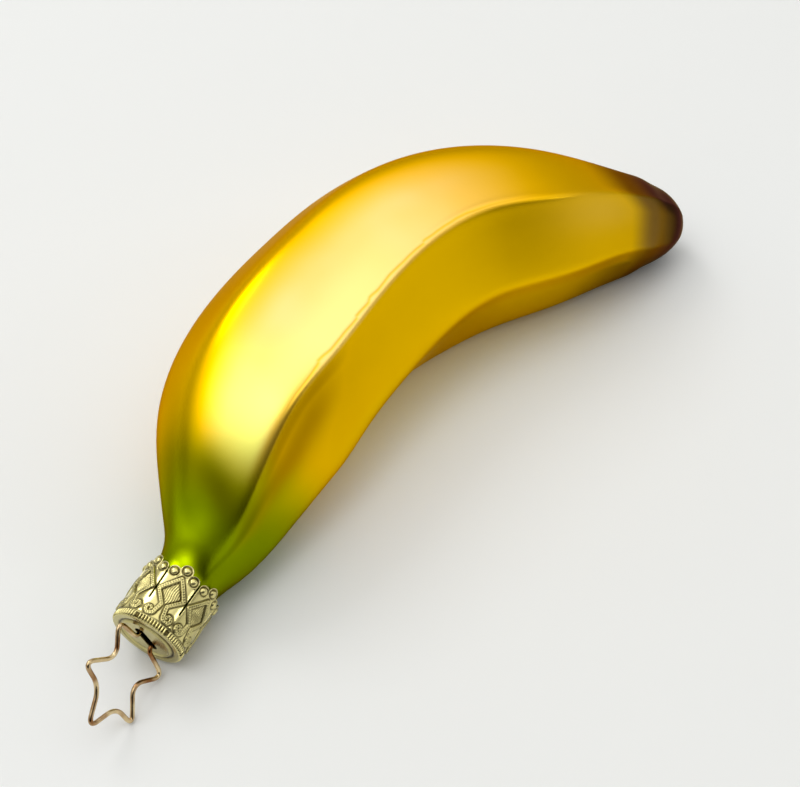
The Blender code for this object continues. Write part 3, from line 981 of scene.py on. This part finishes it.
def build_crown_cap(settings):
    """Stamped crown: one sheet with slot, ribs, relief and scalloped tabs, and its lining."""
    angle, across = cap_columns()
    body_rows = face_and_side_rows(angle, across, settings.ribs_per_tab)
    rows = np.array(body_rows + tab_rows(across))
    radius, depth, lean, height, painted_shade = rows.transpose(1, 0, 2)
    height = height * settings.relief
    cos_lean = np.sqrt(1.0 - lean ** 2)
    outer = turned_points(radius + lean * height, depth - cos_lean * height, angle)
    inner = turned_points(radius - CAP_SHEET * lean, depth + CAP_SHEET * cos_lean, angle)
    faces, inner_used = crown_faces(len(rows), len(body_rows) - 1, len(angle))
    points = carry(cap_matrix(), np.vstack([outer, inner[inner_used]]))
    points[:, 2] = np.maximum(points[:, 2], 0.0)
    piece = claim_piece(add_mesh("crown_cap", set_down(points), faces), "cap")
    # Painted shade in the recesses, and over the whole lining
    add_mask(piece, "recess", np.r_[np.clip(painted_shade.ravel(), 0.0, 1.0), np.ones(len(inner_used))])
    piece.data.materials.append(cap_material(settings))


def crown_faces(rows, root_row, columns):
    """Fine quads outside, and a coarse lining whose edge cells take in every edge point."""
    per_tab = CAP_COLUMNS_PER_TAB + 1
    faces = []
    edge_walls = []
    for row in range(rows - 1):
        for column in range(columns):
            follows = (column + 1) % columns
            across_slit = follows % per_tab == 0
            if across_slit and row >= root_row:
                continue
            faces.append((row * columns + column, row * columns + follows,
                          (row + 1) * columns + follows, (row + 1) * columns + column))
            if row == 0:
                edge_walls.append((column, follows, 0, 0))
            if row == rows - 2:
                edge_walls.append((follows, column, rows - 1, rows - 1))
    for tab in range(CAP_TABS):
        first, last = tab * per_tab, (tab + 1) * per_tab - 1
        for row in range(root_row, rows - 1):
            edge_walls.append((first, first, row + 1, row))
            edge_walls.append((last, last, row, row + 1))
        edge_walls.append(((last + 1) % columns, last, root_row, root_row))

    numbers = {}

    def lining(row, column):
        key = row * columns + column % columns
        return numbers.setdefault(key, len(numbers))

    outer_count = rows * columns
    for start, end, row_start, row_end in edge_walls:
        faces.append((row_end * columns + end, row_start * columns + start,
                      outer_count + lining(row_start, start), outer_count + lining(row_end, end)))
    coarse_rows = sorted(set(range(0, root_row, LINING_STEP)) | {root_row}
                         | set(range(root_row, rows - 1, LINING_STEP)) | {rows - 1})
    for low, high in zip(coarse_rows, coarse_rows[1:]):
        for tab in range(CAP_TABS):
            base = tab * per_tab
            for left in range(0, CAP_COLUMNS_PER_TAB, LINING_STEP):
                right = left + LINING_STEP
                loop = [(low, base + left)]
                if low == 0:
                    loop += [(0, base + c) for c in range(left + 1, right)]
                loop.append((low, base + right))
                if right == CAP_COLUMNS_PER_TAB and low >= root_row:
                    loop += [(r, base + right) for r in range(low + 1, high)]
                loop.append((high, base + right))
                if high == rows - 1:
                    loop += [(high, base + c) for c in range(right - 1, left, -1)]
                loop.append((high, base + left))
                if left == 0 and low >= root_row:
                    loop += [(r, base) for r in range(high - 1, low, -1)]
                faces.append(tuple(outer_count + lining(r, c) for r, c in reversed(loop)))
            if high <= root_row:
                gap = [(low, base + per_tab - 1), (low, base + per_tab),
                       (high, base + per_tab), (high, base + per_tab - 1)]
                faces.append(tuple(outer_count + lining(r, c) for r, c in reversed(gap)))
    used = sorted(numbers, key=numbers.get)
    return faces, used


def cap_material(settings):
    """Pale gold stamped metal, with painted shade in the recesses, where it is also duller."""
    material, sheet, shader = new_material("stamped_cap")
    uneven = place_unevenness(sheet, shader, {
        "Slow scale": 420.0, "Fine scale": 3800.0, "Fine share": 0.5,
        "Bump strength": 0.22, "Bump distance": 0.00004})
    recess = sheet.mask("recess")
    shade_share = sheet.times(recess, sheet.plus(uneven.outputs["Slow"], 0.45))
    shade_share = sheet.math("MINIMUM", shade_share, 1.0)
    tint = sheet.mix(shade_share, tuple(settings.metal), tuple(settings.recess))
    sheet.link(tint, shader.inputs["Base Color"])
    rough = sheet.plus(0.14, sheet.times(shade_share, 0.25))
    sheet.link(rough, shader.inputs["Roughness"])
    shader.inputs["Metallic"].default_value = 1.0
    return material


def toward(start, end):
    return (end - start) / np.linalg.norm(end - start)


def round_corners(corners, bend):
    """Smooth route that bends through each corner and is straight between them."""
    corners = [np.array(corner, float) for corner in corners]
    pushed = [corners[0]]
    reaches = []
    for before, corner, after in zip(corners, corners[1:], corners[2:]):
        nearest = min(np.linalg.norm(before - corner), np.linalg.norm(after - corner))
        reaches.append(min(bend, 0.45 * nearest))
        pushed.append(corner - (toward(corner, before) + toward(corner, after)) * reaches[-1] / 4.0)
    pushed.append(corners[-1])
    path = [pushed[0]]
    for reach, before, corner, after in zip(reaches, pushed, pushed[1:], pushed[2:]):
        start = corner + toward(corner, before) * reach
        end = corner + toward(corner, after) * reach
        leaving = start + BEND_FULLNESS * (corner - start)
        arriving = end + BEND_FULLNESS * (corner - end)
        for t in np.linspace(0.0, 1.0, 14):
            u = 1.0 - t
            path.append(u ** 3 * start + 3.0 * u * u * t * leaving
                        + 3.0 * u * t * t * arriving + t ** 3 * end)
    path.append(pushed[-1])
    return path


def wire_route():
    """A leg in the neck, out through the slot, round the star and back."""
    leg = [(LEG_LENGTH, LEG_SPREAD), (LEG_STRAIGHT, LEG_AT_SLOT), (-WIRE_CLEARANCE, LEG_AT_SLOT)]
    first_leg = [(along, -across) for along, across in leg]
    star = [(-out, across) for out, across in STAR_CORNERS]
    return round_corners(first_leg + star + leg[::-1], WIRE_BEND)


def build_star_hanger(settings):
    """One round wire, bent into a five-pointed star between its two legs."""
    curve = bpy.data.curves.new("star_hanger", "CURVE")
    curve.dimensions = "3D"
    curve.bevel_depth = settings.wire_radius * MM
    curve.bevel_resolution = 6
    curve.use_fill_caps = True
    place = Matrix.Translation((0.0, 0.0, AXIS_HEIGHT)) @ Matrix.Rotation(NECK_YAW, 4, "Z")
    place = place @ Matrix.Rotation(SLOT_TILT, 4, "X")
    route = [(along, 0.0, -across) for along, across in wire_route()]
    points = set_down(carry(place, route))
    line = curve.splines.new("POLY")
    line.points.add(len(points) - 1)
    for point, where in zip(line.points, points):
        point.co = (*where, 1.0)
    line.use_smooth = True
    curve.materials.append(wire_material(settings))
    claim_piece(add_object("star_hanger", curve), "hanger_wire")


def wire_material(settings):
    """Bright drawn copper-gold wire with faint handling marks."""
    material, sheet, shader = new_material("hanger_wire")
    uneven = place_unevenness(sheet, shader, {
        "Slow scale": 330.0, "Fine scale": 5000.0, "Fine share": 0.4,
        "Bump strength": 0.15, "Bump distance": 0.00003})
    share = sheet.times(sheet.minus(uneven.outputs["Slow"], 0.36), 3.4)
    tint = sheet.mix(sheet.held(share), tuple(settings.metal), tuple(settings.copper))
    sheet.link(tint, shader.inputs["Base Color"])
    rough = sheet.plus(0.10, sheet.times(uneven.outputs["Fine"], 0.10))
    sheet.link(rough, shader.inputs["Roughness"])
    shader.inputs["Metallic"].default_value = 1.0
    return material


def floor_material(settings):
    """Matt white paper with a very slight unevenness."""
    material, sheet, shader = new_material("pale_floor")
    uneven = place_unevenness(sheet, shader, {
        "Slow scale": 9.0, "Fine scale": 600.0, "Fine share": 0.2,
        "Bump strength": 0.02, "Bump distance": 0.0002})
    dimmer = tuple(0.975 * value for value in settings.floor)
    paper = sheet.mix(uneven.outputs["Slow"], tuple(settings.floor), dimmer)
    sheet.link(paper, shader.inputs["Base Color"])
    shader.inputs["Roughness"].default_value = 0.65
    shader.inputs["Specular IOR Level"].default_value = 0.25
    return material


def build_floor(settings):
    """Wide round floor whose rim rises gently into the backdrop."""
    points = [(0.0, 0.0, 0.0)]
    for radius, height in FLOOR_RINGS:
        for j in range(FLOOR_SIDES):
            angle = 2.0 * math.pi * j / FLOOR_SIDES
            points.append((radius * math.cos(angle), radius * math.sin(angle), height))
    faces = [(0, 1 + j, 1 + (j + 1) % FLOOR_SIDES) for j in range(FLOOR_SIDES)]
    for ring in range(len(FLOOR_RINGS) - 1):
        quads = bridge(1 + ring * FLOOR_SIDES, 1 + (ring + 1) * FLOOR_SIDES, FLOOR_SIDES)
        faces += [tuple(reversed(quad)) for quad in quads]
    floor = add_mesh("floor", points, faces)
    floor.data.materials.append(floor_material(settings))


def add_softbox(name, place, side, power):
    """Square area light that looks at the ornament."""
    light = bpy.data.lights.new(name, "AREA")
    light.shape = "SQUARE"
    light.size = side
    light.energy = power
    softbox = add_object(name, light)
    softbox.location = place
    look = Vector((0.0, 0.0, 0.01)) - softbox.location
    softbox.rotation_euler = look.to_track_quat("-Z", "Y").to_euler()


def direction(azimuth, elevation):
    """Unit vector at an azimuth from +X towards +Y and an elevation, in degrees."""
    a, e = math.radians(azimuth), math.radians(elevation)
    return (math.cos(e) * math.cos(a), math.cos(e) * math.sin(a), math.sin(e))


def build_surroundings():
    """Even room light that brightens overhead, with a dim side where the viewer stands."""
    world = bpy.data.worlds.new("studio")
    bpy.context.scene.world = world
    world.use_nodes = True
    sheet = NodeSheet(world.node_tree)
    output = sheet.node("ShaderNodeOutputWorld")
    background = sheet.node("ShaderNodeBackground")
    sheet.link(background.outputs[0], output.inputs[0])
    ray = sheet.node("ShaderNodeTexCoord").outputs["Generated"]
    height = sheet.node("ShaderNodeSeparateXYZ")
    sheet.link(ray, height.inputs[0])
    ramp = sheet.node("ShaderNodeValToRGB")
    ramp.color_ramp.interpolation = "EASE"
    while len(ramp.color_ramp.elements) < len(ROOM_LEVELS):
        ramp.color_ramp.elements.new(0.5)
    for element, (place, level) in zip(ramp.color_ramp.elements, ROOM_LEVELS):
        element.position = place
        element.color = (*(level * share for share in ROOM_TINT), 1.0)
    sheet.link(height.outputs["Z"], ramp.inputs[0])
    strength = 1.0
    for azimuth, elevation, reach, core, level in DIM_SIDES:
        dim = sheet.node("ShaderNodeVectorMath", operation="DOT_PRODUCT")
        sheet.link(ray, dim.inputs[0])
        dim.inputs[1].default_value = direction(azimuth, elevation)
        limits = {"From Min": math.cos(math.radians(reach)), "To Min": 1.0,
                  "From Max": math.cos(math.radians(core)), "To Max": level}
        shade = sheet.node("ShaderNodeMapRange", limits, interpolation_type="SMOOTHSTEP")
        sheet.link(dim.outputs["Value"], shade.inputs["Value"])
        strength = sheet.times(strength, shade.outputs["Result"])
    sheet.link(ramp.outputs[0], background.inputs["Color"])
    sheet.link(strength, background.inputs["Strength"])


def build_camera(settings):
    """Camera at the photograph's place: looking down at 52 degrees across the ornament."""
    camera = bpy.data.cameras.new("camera")
    camera.lens = settings.lens
    camera.sensor_width = 36.0
    camera.clip_start = 0.01
    camera.clip_end = 50.0
    holder = add_object("camera", camera)
    holder.location = set_down(CAMERA_PLACE)
    holder.rotation_euler = (math.radians(CAMERA_TIP), 0.0, math.radians(CAMERA_TURN))
    bpy.context.scene.camera = holder


def build_stage(settings):
    build_camera(settings)
    build_floor(settings)
    build_surroundings()
    for name, (place, side) in SOFTBOXES.items():
        add_softbox(name, place, side, getattr(settings, name))
    bpy.context.scene.view_settings.view_transform = "Standard"


class ORNAMENT_OT_glass_body(bpy.types.Operator):
    """Build the banana-shaped glass body with its seam and lacquer"""

    bl_idname = "ornament.glass_body"
    bl_label = "Glass body"

    def execute(self, context):
        build_glass_body(context.scene.ornament_glass)
        return {"FINISHED"}


class ORNAMENT_OT_crown_cap(bpy.types.Operator):
    """Build the stamped crown cap"""

    bl_idname = "ornament.crown_cap"
    bl_label = "Crown cap"

    def execute(self, context):
        build_crown_cap(context.scene.ornament_cap)
        return {"FINISHED"}


class ORNAMENT_OT_star_hanger(bpy.types.Operator):
    """Build the wire hanger bent into a star"""

    bl_idname = "ornament.star_hanger"
    bl_label = "Star hanger"

    def execute(self, context):
        build_star_hanger(context.scene.ornament_hanger)
        return {"FINISHED"}


class ORNAMENT_OT_stage(bpy.types.Operator):
    """Set up the floor, the light and the camera"""

    bl_idname = "ornament.stage"
    bl_label = "Stage"

    def execute(self, context):
        build_stage(context.scene.ornament_stage)
        return {"FINISHED"}


class ORNAMENT_PT_panel(bpy.types.Panel):
    """Lists the ornament's pieces in the sidebar"""

    bl_idname = "ORNAMENT_PT_panel"
    bl_label = "Glass ornament"
    bl_space_type = "VIEW_3D"
    bl_region_type = "UI"
    bl_category = "Ornament"

    def draw(self, context):
        for operator in OPERATORS:
            self.layout.operator(operator.bl_idname)
        for name in SETTINGS:
            settings = getattr(context.scene, name)
            box = self.layout.box()
            for prop in settings.__annotations__:
                box.prop(settings, prop)


OPERATORS = (ORNAMENT_OT_stage, ORNAMENT_OT_glass_body, ORNAMENT_OT_crown_cap,
             ORNAMENT_OT_star_hanger)
SETTINGS = {
    "ornament_glass": GlassSettings,
    "ornament_cap": CapSettings,
    "ornament_hanger": HangerSettings,
    "ornament_stage": StageSettings,
}


def register():
    for settings in SETTINGS.values():
        bpy.utils.register_class(settings)
    for made in (*OPERATORS, ORNAMENT_PT_panel):
        bpy.utils.register_class(made)
    for name, settings in SETTINGS.items():
        setattr(bpy.types.Scene, name, PointerProperty(type=settings))


def unregister():
    for name in SETTINGS:
        delattr(bpy.types.Scene, name)
    for made in (ORNAMENT_PT_panel, *reversed(OPERATORS)):
        bpy.utils.unregister_class(made)
    for settings in reversed(list(SETTINGS.values())):
        bpy.utils.unregister_class(settings)


def main():
    register()
    bpy.ops.ornament.stage()
    bpy.ops.ornament.glass_body()
    bpy.ops.ornament.crown_cap()
    bpy.ops.ornament.star_hanger()


if __name__ == "__main__":
    main()
